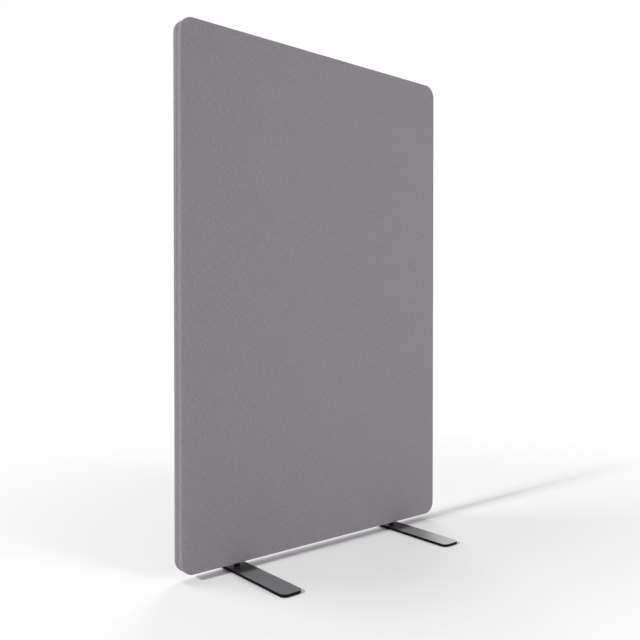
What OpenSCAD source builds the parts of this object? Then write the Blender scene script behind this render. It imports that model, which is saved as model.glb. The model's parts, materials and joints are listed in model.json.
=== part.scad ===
// Acoustic divider screen: a cloth-covered panel on a timber frame, standing on two bar feet.
// Origin on the floor under the panel's centre, X along the width, Y towards the back, Z up.

/* [Panel] */
// Width of the covered panel
panel_w = 1200; // [1120:20:1600]
// Height of the covered panel
panel_h = 1800; // [1200:20:2000]
// Thickness over both covers
panel_t = 50; // [46:1:60]
// Corner radius, seen from the front
corner_r = 46; // [20:1:58]
// Rounding of a cover where its face turns into its edge
edge_r = 3; // [2:0.5:4]

/* [Cover and wadding] */
// Thickness of the cloth
cloth_t = 1; // [0.6:0.1:1.5]
// Thickness of the wadding under each face
wadding_t = 5; // [3:0.5:5]
// Width of the face covers' margin along the base strip
base_margin = 4; // [2:0.5:6]
// Width of an eyelet's flange round its barrel
eyelet_flange = 5; // [3:0.5:8]

/* [Zip] */
// Width of the slot between the covers, where the zip shows
zip_gap = 8; // [8:0.5:10]
// Width of the closed chain
chain_w = 6; // [4:0.5:6]
// Thickness of the chain
chain_t = 1.1; // [0.8:0.1:1.3]
// Width of each tape beside the chain
tape_w = 14; // [10:0.5:15]
// Thickness of a tape
tape_t = 0.6; // [0.4:0.1:0.8]
// Height of the zip's end above the bottom of the panel, on the right edge
zip_end_h = 90; // [70:5:300]
// Length of the slider
slider_l = 17; // [14:0.5:22]
// Width of the slider at its mouth
slider_w = 11; // [10:0.5:13]
// Length of the pull's blade below its eye
pull_l = 22; // [15:1:30]
// Width of the pull's blade
pull_w = 6; // [4:0.5:8]

/* [Timber frame] */
// Width of a stile
stile_w = 60; // [48:1:90]
// Width of the top rail
top_rail_w = 60; // [48:1:90]
// Width of the bottom rail, which holds the inserts
base_rail_w = 90; // [75:1:140]
// Width of the middle rail
mid_rail_w = 45; // [30:1:80]
// Length of the middle rail's stub tenons
stub_l = 25; // [15:1:30]
// Diameter of the dowels
dowel_d = 10; // [6:1:12]

/* [Feet] */
// Length of a foot, from front to back
foot_l = 640; // [500:10:700]
// Width of a foot
foot_w = 80; // [60:5:120]
// Thickness of a foot
foot_t = 10; // [9:1:15]
// Corner radius of a foot's ends
tip_r = 21; // [10:1:25]
// Chamfer round a foot's edges
foot_chamfer = 1; // [0.5:0.1:2]
// Distance from the panel's end to the middle of a foot
foot_inset = 225; // [150:5:230]
// Clear height between a foot and the panel
foot_gap = 14; // [6:1:30]
// Diameter of a floor pad
pad_d = 18; // [12:1:24]
// Height of a floor pad below the foot
pad_proud = 1; // [0.5:0.1:2]
// Depth of the pocket that holds a floor pad
pad_pocket = 1.2; // [0.8:0.1:2]

/* [Posts and fixings] */
// Diameter of a post
post_d = 22; // [20:1:28]
// Diameter of a foot bolt
bolt_d = 10; // [8:1:12]
// Length of bolt held in the insert
bolt_grip = 24; // [15:1:25]
// Length of a threaded insert
insert_l = 35; // [30:1:45]
// Diameter of a threaded insert
insert_d = 16; // [15:1:20]
// Diameter of an insert's flange
insert_flange_d = 26; // [23:1:32]

/* [Hidden] */
$fn = 64;
// Overrun of a cut past the face that it opens
over = 5;
// Clearance of glued, sewn and inserted pieces
fit_gap = 0.1;
// Clearance of what slides or turns loosely
run_gap = 0.3;
// Clearance round the edges of soft fillings
soft_gap = 0.5;
// Clearance of the slider's inner plate from each side and from the floor of its groove
groove_side_gap = 1.5;
groove_floor_gap = 0.5;

plate_z = pad_proud;
plate_top = plate_z + foot_t;
panel_z = plate_top + foot_gap;
panel_top = panel_z + panel_h;
panel_mid = panel_z + panel_h / 2;
foot_x = panel_w / 2 - foot_inset;

// Depths below the panel's outline: the tapes' inner face, the timber and the floor of its groove
tape_floor = cloth_t + tape_t;
frame_inset = tape_floor + fit_gap;
slider_plate_t = 1.3;
slider_depth = tape_floor + run_gap;
groove_floor = slider_depth + slider_plate_t + groove_floor_gap;
groove_w = slider_w + 2 * groove_side_gap;

core_t = panel_t - 2 * (cloth_t + wadding_t);
frame_x = panel_w / 2 - frame_inset;
frame_z = panel_z + frame_inset;
frame_top = panel_top - frame_inset;
inner_x = frame_x - stile_w;
top_rail_z = frame_top - top_rail_w;
base_rail_top = frame_z + base_rail_w;
mid_rail_z = (base_rail_top + top_rail_z - mid_rail_w) / 2;
tenon_t = core_t / 3;
corner_dowel_x = inner_x + stile_w / 2;
stub_dowel_x = inner_x + stub_l / 2;
top_dowel_z = top_rail_z + top_rail_w / 2;
mid_dowel_z = mid_rail_z + mid_rail_w / 2;
base_dowel_pitch = base_rail_w / 3;
base_dowel_z = frame_z + base_dowel_pitch;
dowel_places = [
    [corner_dowel_x, top_dowel_z],
    [corner_dowel_x, base_dowel_z],
    [corner_dowel_x, base_dowel_z + base_dowel_pitch],
    [stub_dowel_x, mid_dowel_z]
];

seam_gap = 0.4;
seam_end_x = panel_w / 2 - corner_r;
zip_end_z = panel_z + zip_end_h;
chain_top = tape_floor - chain_t;
stop_l = 3;
stop_inset = 0.3;
slider_z = zip_end_z + stop_l + run_gap;
mouth_l = slider_l / 3;
tail_share = 0.8;
diamond_share = 0.4;
diamond_w = diamond_share * chain_w;
diamond_l = slider_l / 5;
chain_z = slider_z + mouth_l + run_gap;
corner_z = panel_top - corner_r;
slider_top_x = panel_w / 2 + run_gap + slider_plate_t;
flange_gap = 0.15;
pin_d = 1.5;
pin_gap = 0.1;
eye_wall = 1.05;
eye_d = pin_d + 2 * eye_wall;
pin_x = slider_top_x + eye_d / 2 + run_gap;
pin_z = slider_z + slider_l / 2;
lug_t = 1;
lug_l = 4;
neck_w = 2;
pull_t = 1.2;
pull_top = pin_z - slider_l / 2;
pull_hole_l = pull_l / 4;
pull_hole_w = pull_w / 2;

bolt_head_d = 2 * bolt_d;
bolt_head_rim = 0.5;
bolt_head_h = bolt_head_rim + (bolt_head_d - bolt_d) / 2;
bolt_sink = 0.2;
bolt_top = frame_z + bolt_grip;
bolt_tip = 1;
hex_share = 0.6;
hex_w = hex_share * bolt_d;
hex_l = bolt_d / 2;
seat_web = 1;
bolt_clearance = 0.5;
clear_d = bolt_d + 2 * bolt_clearance;
spigot_wall = 1.5;
spigot_d = clear_d + 2 * spigot_wall;
spigot_l = foot_t - bolt_head_h - seat_web;
post_chamfer = 0.6;
insert_flange_t = 2;
eyelet_t = 0.5;
eyelet_bore = post_d / 2 + run_gap;
barrel_t = 0.6;
pad_chamfer = 0.4;
pad_margin = 7;
pad_inset = 24;
pad_x = foot_w / 2 - pad_margin - pad_d / 2;
pad_y = foot_l / 2 - pad_inset;

cloth_colour = [0.53, 0.50, 0.53];
zip_colour = [0.45, 0.42, 0.45];
pine_colour = [0.80, 0.66, 0.45];
fibre_colour = [0.62, 0.63, 0.60];
wadding_colour = [0.90, 0.90, 0.88];
black_coat = [0.06, 0.06, 0.06];
zinc_colour = [0.72, 0.72, 0.70];

// Draws a shape of the XZ plane as a solid from y to y + t
module upright(y, t) {
    translate([0, y + t, 0])
        rotate([90, 0, 0])
            linear_extrude(t) children();
}

// Draws a shape of the YZ plane as a solid from x to x + t
module sideways(x, t) {
    translate([x, 0, 0])
        rotate([90, 0, 90])
            linear_extrude(t) children();
}

module rounded_rect(w, h, r) {
    square([w - 2 * r, h], center = true);
    square([w, h - 2 * r], center = true);
    for (x = [-1, 1], y = [-1, 1])
        translate([x * (w / 2 - r), y * (h / 2 - r)]) circle(r);
}

// The panel's outline from the front, at a depth below its edge
module outline(inset) {
    translate([0, panel_mid])
        rounded_rect(panel_w - 2 * inset, panel_h - 2 * inset, corner_r - inset);
}

// A flat plate with round corners, whose edge profile is swept round it
module rimmed_plate(w, h, r, t) {
    for (side = [0 : 3]) {
        across = side % 2 == 0 ? w : h;
        along = side % 2 == 0 ? h : w;
        rotate([0, 0, 90 * side])
            translate([across / 2 - r, along / 2 - r, 0]) {
                rotate_extrude(angle = 90) children();
                rotate([90, 0, 0]) linear_extrude(along - 2 * r) children();
            }
    }
    translate([0, 0, t / 2]) cube([w - 2 * r, h - 2 * r, t], center = true);
}

// Profile from a corner's centre out to the edge, rounded on the outer side of the face
module soft_edge(r, round_r, t) {
    translate([0, round_r]) square([r, t - round_r]);
    square([r - round_r, t]);
    translate([r - round_r, round_r]) circle(round_r);
}

// A sheet of the panel's shape at a depth below its edge and below its back face
module face_sheet(inset, depth, t) {
    translate([0, panel_t / 2 - depth, panel_mid])
        rotate([90, 0, 0])
            rimmed_plate(panel_w - 2 * inset, panel_h - 2 * inset, corner_r - inset, t)
                soft_edge(corner_r - inset, edge_r - cloth_t + max(cloth_t - inset, 0), t);
}

// The stretch of the outline that the zip follows: left, top and right edge
module zip_zone() {
    translate([-panel_w / 2 - over, zip_end_z])
        square([panel_w + 2 * over, panel_top + over - zip_end_z]);
    translate([-panel_w / 2 - over, panel_z - over])
        square([corner_r + over, zip_end_z - panel_z + 2 * over]);
}

// A band that follows the zip between two depths below the outline
module zip_band(y, w, top, floor) {
    upright(y, w)
        intersection() {
            difference() {
                outline(top);
                outline(floor);
            }
            zip_zone();
        }
}

// The straight run of the right edge above the slider
module side_run(z) {
    translate([0, z]) square([panel_w / 2 + over, corner_z - z]);
}

module face_cover() {
    wall = (panel_t - seam_gap) / 2;
    difference() {
        face_sheet(0, 0, wall);
        face_sheet(cloth_t, cloth_t, wall);
        upright(-zip_gap / 2, zip_gap) zip_zone();
        translate([-seam_end_x, -over, panel_z - over])
            cube([2 * seam_end_x, panel_t / 2 - base_margin + over, cloth_t + 2 * over]);
    }
}

module cover_back() {
    color(cloth_colour) face_cover();
}

module cover_front() {
    color(cloth_colour) mirror([0, 1, 0]) face_cover();
}

module cover_base() {
    half = panel_t / 2 - base_margin - fit_gap;
    color(cloth_colour)
        difference() {
            translate([-seam_end_x + fit_gap, -half, panel_z])
                cube([2 * (seam_end_x - fit_gap), 2 * half, cloth_t]);
            for (x = [-foot_x, foot_x])
                translate([x, 0, panel_z - over])
                    cylinder(r = eyelet_bore + barrel_t + fit_gap, h = cloth_t + 2 * over);
        }
}

// A two-flanged eyelet that grips the cloth
module post_eyelets() {
    flange_r = eyelet_bore + barrel_t + eyelet_flange;
    barrel_r = eyelet_bore + barrel_t;
    color(black_coat)
        for (x = [-foot_x, foot_x])
            translate([x, 0, panel_z])
                rotate_extrude()
                    polygon([
                        [eyelet_bore, -eyelet_t], [flange_r, -eyelet_t], [flange_r, 0],
                        [barrel_r, 0], [barrel_r, cloth_t], [flange_r, cloth_t],
                        [flange_r, cloth_t + eyelet_t], [eyelet_bore, cloth_t + eyelet_t]
                    ]);
}

module zip_tape_back() {
    color(zip_colour) zip_band(chain_w / 2, tape_w, cloth_t, tape_floor);
}

module zip_tape_front() {
    color(zip_colour) zip_band(-chain_w / 2 - tape_w, tape_w, cloth_t, tape_floor);
}

// Chain round the left edge, the top and all the corners
module zip_chain() {
    color(zip_colour)
        difference() {
            zip_band(-chain_w / 2, chain_w, chain_top, tape_floor);
            upright(-chain_w, 2 * chain_w) side_run(zip_end_z - over);
            translate([-seam_end_x - stop_l, -chain_w, panel_z - over])
                cube([stop_l + over, 2 * chain_w, corner_r]);
        }
}

// Chain on the straight run of the right edge, which the slider opens
module zip_chain_side() {
    color(zip_colour)
        intersection() {
            zip_band(-chain_w / 2, chain_w, chain_top, tape_floor);
            upright(-chain_w, 2 * chain_w) side_run(chain_z);
        }
}

// Two small clips below the slider, and one block across the chain's other end
module zip_stops() {
    clip_w = (zip_gap - chain_w) / 2 + chain_w / 6 - fit_gap;
    clip_y = zip_gap / 2 - fit_gap - clip_w;
    color(zinc_colour) {
        for (side = [0, 1])
            mirror([0, side, 0])
                translate([panel_w / 2 - cloth_t, clip_y, zip_end_z])
                    cube([cloth_t - stop_inset, clip_w, stop_l]);
        translate([-seam_end_x - stop_l, -chain_w / 2 + fit_gap, panel_z + stop_inset])
            cube([stop_l, chain_w - 2 * fit_gap, tape_floor - stop_inset]);
    }
}

// The slider's plate: wide at the mouth below, narrower at the tail above
module slider_plate() {
    mouth = slider_w / 2;
    tail = tail_share * mouth;
    bevel = slider_w / 8;
    polygon([
        [-mouth + bevel, 0], [mouth - bevel, 0], [mouth, bevel], [mouth, mouth_l],
        [tail, slider_l - bevel], [tail - bevel, slider_l], [bevel - tail, slider_l],
        [-tail, slider_l - bevel], [-mouth, mouth_l], [-mouth, bevel]
    ]);
}

module zip_slider() {
    flange_y = chain_w / 2 + flange_gap;
    flange_w = zip_gap / 2 - flange_gap - flange_y;
    flange_depth = cloth_t - flange_gap;
    lug_y = neck_w / 2 + pin_gap;
    color(zinc_colour) {
        translate([0, 0, slider_z]) {
            sideways(panel_w / 2 + run_gap, slider_plate_t) slider_plate();
            sideways(panel_w / 2 - slider_depth - slider_plate_t, slider_plate_t)
                slider_plate();
        }
        // The diamond that parts the chain and joins the two plates
        sideways(panel_w / 2 - slider_depth - slider_plate_t, slider_depth + 2 * slider_plate_t)
            polygon([
                [-diamond_w / 2, slider_z], [diamond_w / 2, slider_z],
                [diamond_w / 2, slider_z + diamond_l], [0, slider_z + mouth_l],
                [-diamond_w / 2, slider_z + diamond_l]
            ]);
        for (side = [0, 1])
            mirror([0, side, 0]) {
                // Flange that holds the chain in
                translate([panel_w / 2 - flange_depth, flange_y, slider_z])
                    cube([flange_depth + run_gap + slider_plate_t / 2, flange_w, slider_l]);
                // Lug of the pull's pin
                translate([slider_top_x - slider_plate_t / 2, lug_y, pin_z - lug_l / 2])
                    cube([pin_x - slider_top_x + slider_plate_t / 2 + pin_d, lug_t, lug_l]);
            }
        translate([pin_x, 0, pin_z])
            rotate([90, 0, 0])
                cylinder(d = pin_d, h = 2 * lug_y + lug_t, center = true);
    }
}

module zip_pull() {
    color(zinc_colour)
        difference() {
            union() {
                translate([pin_x, 0, pin_z])
                    rotate([90, 0, 0]) cylinder(d = eye_d, h = neck_w, center = true);
                translate([pin_x - pull_t / 2, -neck_w / 2, pull_top])
                    cube([pull_t, neck_w, pin_z - pull_top]);
                sideways(pin_x - pull_t / 2, pull_t)
                    translate([0, pull_top - pull_l / 2])
                        rounded_rect(pull_w, pull_l, pull_w / 3);
            }
            translate([pin_x, 0, pin_z])
                rotate([90, 0, 0])
                    cylinder(d = pin_d + 2 * pin_gap, h = neck_w + 2 * over, center = true);
            sideways(pin_x - over, 2 * over)
                translate([0, pull_top - pull_l + pull_hole_l])
                    rounded_rect(pull_hole_w, pull_hole_l, pull_hole_w / 3);
        }
}

module wadding_back() {
    color(wadding_colour) face_sheet(cloth_t + fit_gap, cloth_t, wadding_t);
}

module wadding_front() {
    color(wadding_colour)
        mirror([0, 1, 0]) face_sheet(cloth_t + fit_gap, cloth_t, wadding_t);
}

// A sound-absorbing slab that fills one bay of the frame
module absorber(z, top) {
    color(fibre_colour)
        translate([-inner_x + soft_gap, -core_t / 2, z + soft_gap])
            cube([2 * (inner_x - soft_gap), core_t, top - z - 2 * soft_gap]);
}

module absorber_lower() {
    absorber(base_rail_top, mid_rail_z);
}

module absorber_upper() {
    absorber(mid_rail_z + mid_rail_w, top_rail_z);
}

// Trims a timber to the frame's outline and routs the zip's groove into its edge
module timber() {
    color(pine_colour)
        difference() {
            intersection() {
                children();
                upright(-core_t / 2, core_t) outline(frame_inset);
            }
            zip_band(-groove_w / 2, groove_w, -over, groove_floor);
            dowels(dowel_d / 2);
        }
}

module dowels(r) {
    for (side = [-1, 1], place = dowel_places)
        translate([side * place[0], 0, place[1]])
            rotate([90, 0, 0]) cylinder(r = r, h = core_t, center = true);
}

module frame_dowels() {
    color(pine_colour) dowels(dowel_d / 2 - fit_gap / 2);
}

// A slot or mortise of a stile, from x outwards
module tenon_seat(x, z, w) {
    seat_t = tenon_t + 2 * fit_gap;
    translate([x, -seat_t / 2, z]) cube([stile_w + over, seat_t, w]);
}

module stile() {
    difference() {
        translate([inner_x, -core_t / 2, frame_z])
            cube([stile_w, core_t, frame_top - frame_z]);
        tenon_seat(inner_x - over, top_rail_z - fit_gap, top_rail_w + over);
        tenon_seat(inner_x, top_rail_z - fit_gap, top_rail_w + over);
        tenon_seat(inner_x - over, frame_z - over, base_rail_w + over + fit_gap);
        tenon_seat(inner_x, frame_z - over, base_rail_w + over + fit_gap);
        tenon_seat(inner_x + stub_l + fit_gap - stile_w - over, mid_rail_z - fit_gap,
            mid_rail_w + 2 * fit_gap);
    }
}

module stile_right() {
    timber() stile();
}

module stile_left() {
    timber() mirror([1, 0, 0]) stile();
}

// A rail between the stiles, with a tenon at each end
module rail(z, w, tenon_l) {
    translate([-inner_x, -core_t / 2, z]) cube([2 * inner_x, core_t, w]);
    translate([-inner_x - tenon_l, -tenon_t / 2, z])
        cube([2 * (inner_x + tenon_l), tenon_t, w]);
}

module top_rail() {
    timber() rail(top_rail_z, top_rail_w, stile_w);
}

module mid_rail() {
    timber() rail(mid_rail_z, mid_rail_w, stub_l);
}

module base_rail() {
    difference() {
        timber() rail(frame_z, base_rail_w, stile_w);
        color(pine_colour)
            for (x = [-foot_x, foot_x])
                translate([x, 0, frame_z]) {
                    translate([0, 0, -over])
                        cylinder(r = insert_d / 2 + fit_gap, h = insert_l + over);
                    translate([0, 0, -over])
                        cylinder(r = insert_flange_d / 2 + fit_gap, h = insert_flange_t + over);
                }
    }
}

module insert(x) {
    color(zinc_colour)
        translate([x, 0, frame_z])
            difference() {
                union() {
                    cylinder(d = insert_d, h = insert_l);
                    cylinder(d = insert_flange_d, h = insert_flange_t);
                }
                translate([0, 0, -over])
                    cylinder(r = bolt_d / 2 + fit_gap, h = insert_l + 2 * over);
            }
}

module insert_left() {
    insert(-foot_x);
}

module insert_right() {
    insert(foot_x);
}

// A round post with a spigot that centres the foot
module post(x) {
    outer = post_d / 2;
    color(black_coat)
        translate([x, 0, 0])
            rotate_extrude()
                polygon([
                    [clear_d / 2, plate_top - spigot_l + run_gap],
                    [spigot_d / 2, plate_top - spigot_l + run_gap],
                    [spigot_d / 2, plate_top],
                    [outer - post_chamfer, plate_top], [outer, plate_top + post_chamfer],
                    [outer, frame_z - post_chamfer], [outer - post_chamfer, frame_z],
                    [clear_d / 2, frame_z]
                ]);
}

module post_left() {
    post(-foot_x);
}

module post_right() {
    post(foot_x);
}

// A countersunk bolt, from under the foot up into the insert
module foot_bolt(x) {
    head_z = plate_z + bolt_sink;
    color(zinc_colour)
        translate([x, 0, head_z])
            difference() {
                union() {
                    cylinder(d = bolt_head_d, h = bolt_head_rim);
                    translate([0, 0, bolt_head_rim])
                        cylinder(d1 = bolt_head_d, d2 = bolt_d, h = bolt_head_h - bolt_head_rim);
                    cylinder(d = bolt_d, h = bolt_top - bolt_tip - head_z);
                    translate([0, 0, bolt_top - bolt_tip - head_z])
                        cylinder(d1 = bolt_d, d2 = bolt_d - 2 * bolt_tip, h = bolt_tip);
                }
                translate([0, 0, -over]) cylinder(d = hex_w, h = hex_l + over, $fn = 6);
            }
}

module foot_bolt_left() {
    foot_bolt(-foot_x);
}

module foot_bolt_right() {
    foot_bolt(foot_x);
}

// Places something at each corner pad of a foot
module at_pads(x) {
    for (side = [-1, 1], end = [-1, 1])
        translate([x + side * pad_x, end * pad_y, 0]) children();
}

module foot_plate(x) {
    head_z = plate_z + bolt_sink;
    cone_z = head_z + bolt_head_rim - run_gap;
    edge = tip_r - foot_chamfer;
    color(black_coat)
        difference() {
            translate([x, 0, plate_z])
                rimmed_plate(foot_w, foot_l, tip_r, foot_t)
                    polygon([
                        [0, 0], [edge, 0], [tip_r, foot_chamfer],
                        [tip_r, foot_t - foot_chamfer], [edge, foot_t], [0, foot_t]
                    ]);
            translate([x, 0, 0]) {
                // Countersink, with clearance round the bolt's head
                translate([0, 0, plate_z - over])
                    cylinder(r = bolt_head_d / 2 + run_gap, h = cone_z + run_gap - plate_z + over);
                translate([0, 0, cone_z + run_gap])
                    cylinder(r1 = bolt_head_d / 2 + run_gap, r2 = clear_d / 2,
                        h = (bolt_head_d - clear_d) / 2 + run_gap);
                translate([0, 0, plate_z]) cylinder(d = clear_d, h = foot_t + over);
                translate([0, 0, plate_top - spigot_l])
                    cylinder(r = spigot_d / 2 + pin_gap, h = spigot_l + over);
            }
            at_pads(x)
                translate([0, 0, plate_z - over])
                    cylinder(r = pad_d / 2 + fit_gap, h = pad_pocket + over);
        }
}

module foot_plate_left() {
    foot_plate(-foot_x);
}

module foot_plate_right() {
    foot_plate(foot_x);
}

module pads(x) {
    rim = pad_d / 2;
    color(black_coat)
        at_pads(x)
            rotate_extrude()
                polygon([
                    [0, 0], [rim - pad_chamfer, 0], [rim, pad_chamfer],
                    [rim, pad_proud + pad_pocket], [0, pad_proud + pad_pocket]
                ]);
}

module foot_pads_left() {
    pads(-foot_x);
}

module foot_pads_right() {
    pads(foot_x);
}

cover_front();
cover_back();
cover_base();
post_eyelets();
zip_tape_front();
zip_tape_back();
zip_chain();
zip_chain_side();
zip_stops();
zip_slider();
zip_pull();
wadding_front();
wadding_back();
absorber_upper();
absorber_lower();
stile_left();
stile_right();
top_rail();
mid_rail();
base_rail();
frame_dowels();
insert_left();
insert_right();
post_left();
post_right();
foot_bolt_left();
foot_bolt_right();
foot_plate_left();
foot_plate_right();
foot_pads_left();
foot_pads_right();
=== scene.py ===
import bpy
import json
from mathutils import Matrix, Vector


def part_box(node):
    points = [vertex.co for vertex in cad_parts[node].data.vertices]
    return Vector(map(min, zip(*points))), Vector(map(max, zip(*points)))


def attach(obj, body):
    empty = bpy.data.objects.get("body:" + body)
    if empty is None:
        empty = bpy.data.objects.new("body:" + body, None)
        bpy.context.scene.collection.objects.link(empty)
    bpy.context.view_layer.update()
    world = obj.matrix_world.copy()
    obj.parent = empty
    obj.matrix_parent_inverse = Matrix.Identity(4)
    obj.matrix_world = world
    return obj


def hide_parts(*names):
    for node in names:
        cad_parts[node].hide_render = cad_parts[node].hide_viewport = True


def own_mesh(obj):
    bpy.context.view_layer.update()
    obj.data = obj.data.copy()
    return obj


bl_info = {
    "name": "Acoustic Divider Screen",
    "version": (1, 0, 0),
    "blender": (4, 5, 0),
    "location": "View3D > Sidebar > Screen",
    "description": "Cover, zip, fillings, finishes and studio of a free-standing acoustic screen",
    "category": "Object",
}

import json
import math

import bmesh
import bpy
from bpy.props import FloatProperty, FloatVectorProperty, PointerProperty
from mathutils import Matrix, Vector

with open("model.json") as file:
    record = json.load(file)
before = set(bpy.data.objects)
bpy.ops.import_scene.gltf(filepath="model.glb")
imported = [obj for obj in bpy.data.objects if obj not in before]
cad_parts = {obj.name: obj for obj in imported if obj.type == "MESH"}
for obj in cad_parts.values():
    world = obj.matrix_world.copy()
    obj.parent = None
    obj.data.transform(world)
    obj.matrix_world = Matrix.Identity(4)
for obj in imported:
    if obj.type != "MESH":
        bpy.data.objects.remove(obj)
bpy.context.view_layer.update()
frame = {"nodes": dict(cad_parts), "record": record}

MM = 0.001
TINY = 0.01 * MM  # how far apart two places may lie and still be taken as one
FIT_GAP = 0.1 * MM
CLIP_LENGTH = 3 * MM  # of the zip's end clips
EYELET_FLANGE = 5 * MM  # width of an eyelet's flange round its barrel
ARC_STEPS = 16  # facets of a rounded corner
SHARP = math.radians(60)  # cut edges that are steeper than this are rounded

PANEL_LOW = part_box("cover_front")[0]
PANEL_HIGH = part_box("cover_back")[1]
PANEL_WIDTH = PANEL_HIGH.x - PANEL_LOW.x
PANEL_HEIGHT = PANEL_HIGH.z - PANEL_LOW.z
PANEL_MIDDLE = (PANEL_LOW + PANEL_HIGH) / 2
SEAM_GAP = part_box("cover_back")[0].y
ZIP_END_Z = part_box("zip_stops")[1].z - CLIP_LENGTH
SIDE_CHAIN_LOW, SIDE_CHAIN_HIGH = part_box("zip_chain_side")
POSTS = [(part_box(name)[0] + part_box(name)[1]) / 2 for name in ("post_left", "post_right")]


# Sizes and colours that a user would change

class CoverSizes(bpy.types.PropertyGroup):
    """Sizes of the cloth cover and its seams"""
    cloth: FloatProperty(
        name="Cloth", description="Thickness of the cloth", default=1 * MM, unit="LENGTH")
    corner: FloatProperty(
        name="Corner", description="Corner radius, seen from the front", default=46 * MM,
        unit="LENGTH")
    edge: FloatProperty(
        name="Edge", description="Rounding where the face turns into the edge", default=3 * MM,
        unit="LENGTH")
    slot: FloatProperty(
        name="Slot", description="Width of the slot that shows the zip", default=8 * MM,
        unit="LENGTH")
    crown: FloatProperty(
        name="Crown", description="How far the wadding pushes the face out", default=0.5 * MM,
        unit="LENGTH")
    cell: FloatProperty(
        name="Cell", description="Spacing of the mesh over the face", default=75 * MM,
        unit="LENGTH")
    swell: FloatProperty(
        name="Swell", description="Height of the soft unevenness of the face", default=0.4 * MM,
        unit="LENGTH")
    stitch_row: FloatProperty(
        name="Stitch row", description="Distance of the stitching from the slot's edge",
        default=3 * MM, unit="LENGTH")
    stitch_pitch: FloatProperty(
        name="Stitch pitch", description="Distance from stitch to stitch", default=3.6 * MM,
        unit="LENGTH")
    thread: FloatProperty(
        name="Thread", description="Thickness of the sewing thread", default=0.45 * MM,
        unit="LENGTH")
    margin: FloatProperty(
        name="Margin", description="Width of the face covers' margin along the base strip",
        default=4 * MM, unit="LENGTH")


class ZipSizes(bpy.types.PropertyGroup):
    """Sizes of the coil zip"""
    pitch: FloatProperty(
        name="Pitch", description="Distance from loop to loop on one side", default=2 * MM,
        unit="LENGTH")
    loop: FloatProperty(
        name="Loop", description="Width of one loop of the coil", default=0.78 * MM,
        unit="LENGTH")
    overlap: FloatProperty(
        name="Overlap", description="How far the loops reach past the middle", default=1.3 * MM,
        unit="LENGTH")
    tuck: FloatProperty(
        name="Tuck", description="How far the tapes reach in under the coil", default=1.5 * MM,
        unit="LENGTH")
    tape: FloatProperty(
        name="Tape", description="Thickness of the tapes", default=0.6 * MM, unit="LENGTH")


class FillingSizes(bpy.types.PropertyGroup):
    """Softness of the fillings"""
    lumps: FloatProperty(
        name="Lumps", description="Height of the unevenness of wadding and slabs",
        default=0.8 * MM, unit="LENGTH")
    fleece_edge: FloatProperty(
        name="Fleece edge", description="Rounding of the wadding sheets' edges",
        default=1.8 * MM, unit="LENGTH")
    slab_edge: FloatProperty(
        name="Slab edge", description="Rounding of the absorber slabs' edges", default=2 * MM,
        unit="LENGTH")


class FinishColours(bpy.types.PropertyGroup):
    """Base colours of the finishes"""
    cloth: FloatVectorProperty(
        name="Cloth", description="Colour of the cover", default=(0.230, 0.211, 0.232),
        subtype="COLOR", min=0, max=1)
    zip: FloatVectorProperty(
        name="Zip", description="Colour of the zip's tape and coil", default=(0.250, 0.237, 0.254),
        subtype="COLOR", min=0, max=1)
    coat: FloatVectorProperty(
        name="Coat", description="Colour of the black coating", default=(0.005, 0.005, 0.005),
        subtype="COLOR", min=0, max=1)
    pine: FloatVectorProperty(
        name="Pine", description="Colour of the timber's early wood", default=(0.62, 0.44, 0.24),
        subtype="COLOR", min=0, max=1)


class StudioSettings(bpy.types.PropertyGroup):
    """Camera, floor and lamps"""
    camera_place: FloatVectorProperty(
        name="Camera", description="Place of the camera", default=(-1.7361, -2.0885, 0.8826),
        subtype="XYZ", unit="LENGTH")
    camera_turn: FloatVectorProperty(
        name="Camera turn", description="Turn of the camera",
        default=(math.radians(89.249), 0, math.radians(-39.666)), subtype="EULER")
    lens: FloatProperty(
        name="Lens", description="Focal length in mm on a 36 mm wide sensor", default=40.81)
    floor: FloatVectorProperty(
        name="Floor", description="Colour of the floor", default=(0.95, 0.95, 0.955),
        subtype="COLOR", min=0, max=1)
    ambient: FloatProperty(
        name="Ambient", description="Light from all round", default=0.30)
    side: FloatProperty(
        name="Side lamp", description="Level of the small lamp at the left", default=0.67)
    front: FloatProperty(
        name="Front lamp", description="Level of the low soft lamp in front", default=0.585)
    back_left: FloatProperty(
        name="Back lamp, left", description="Level of the soft lamp behind on the left",
        default=0.158)
    back_right: FloatProperty(
        name="Back lamp, right", description="Level of the soft lamp behind on the right",
        default=0.18)


SETTINGS = {
    "cover": CoverSizes, "zip": ZipSizes, "filling": FillingSizes,
    "colours": FinishColours, "studio": StudioSettings,
}


def settings(name):
    """One of the scene's groups of settings."""
    return getattr(bpy.context.scene, "screen_" + name)


# Shader nodes from plain arithmetic

OWN = "screen_"  # begins the names of the materials made here


class Value:
    """A socket that takes part in arithmetic and adds its own Math nodes."""

    def __init__(self, shader, socket):
        self.shader = shader
        self.socket = socket

    def math(self, operation, *values):
        inputs = dict(enumerate(values))
        return self.shader.node("ShaderNodeMath", {"operation": operation}, inputs)

    def __add__(self, other):
        return self.math("ADD", self, other)

    def __sub__(self, other):
        return self.math("SUBTRACT", self, other)

    def __rsub__(self, other):
        return self.math("SUBTRACT", other, self)

    def __mul__(self, other):
        return self.math("MULTIPLY", self, other)

    def __truediv__(self, other):
        return self.math("DIVIDE", self, other)

    def __mod__(self, other):
        return self.math("FLOORED_MODULO", self, other)

    def __abs__(self):
        return self.math("ABSOLUTE", self)

    __radd__ = __add__
    __rmul__ = __mul__

    def sine(self):
        return self.math("SINE", self)

    def floor(self):
        return self.math("FLOOR", self)

    def root(self):
        return self.math("SQRT", self)

    def larger(self, other):
        return self.math("MAXIMUM", self, other)

    def ramp(self, low, high):
        """0 below low and 1 above high, smooth between them."""
        return self.shader.node(
            "ShaderNodeMapRange", {"interpolation_type": "SMOOTHSTEP"},
            {"Value": self, "From Min": low, "From Max": high})


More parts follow.
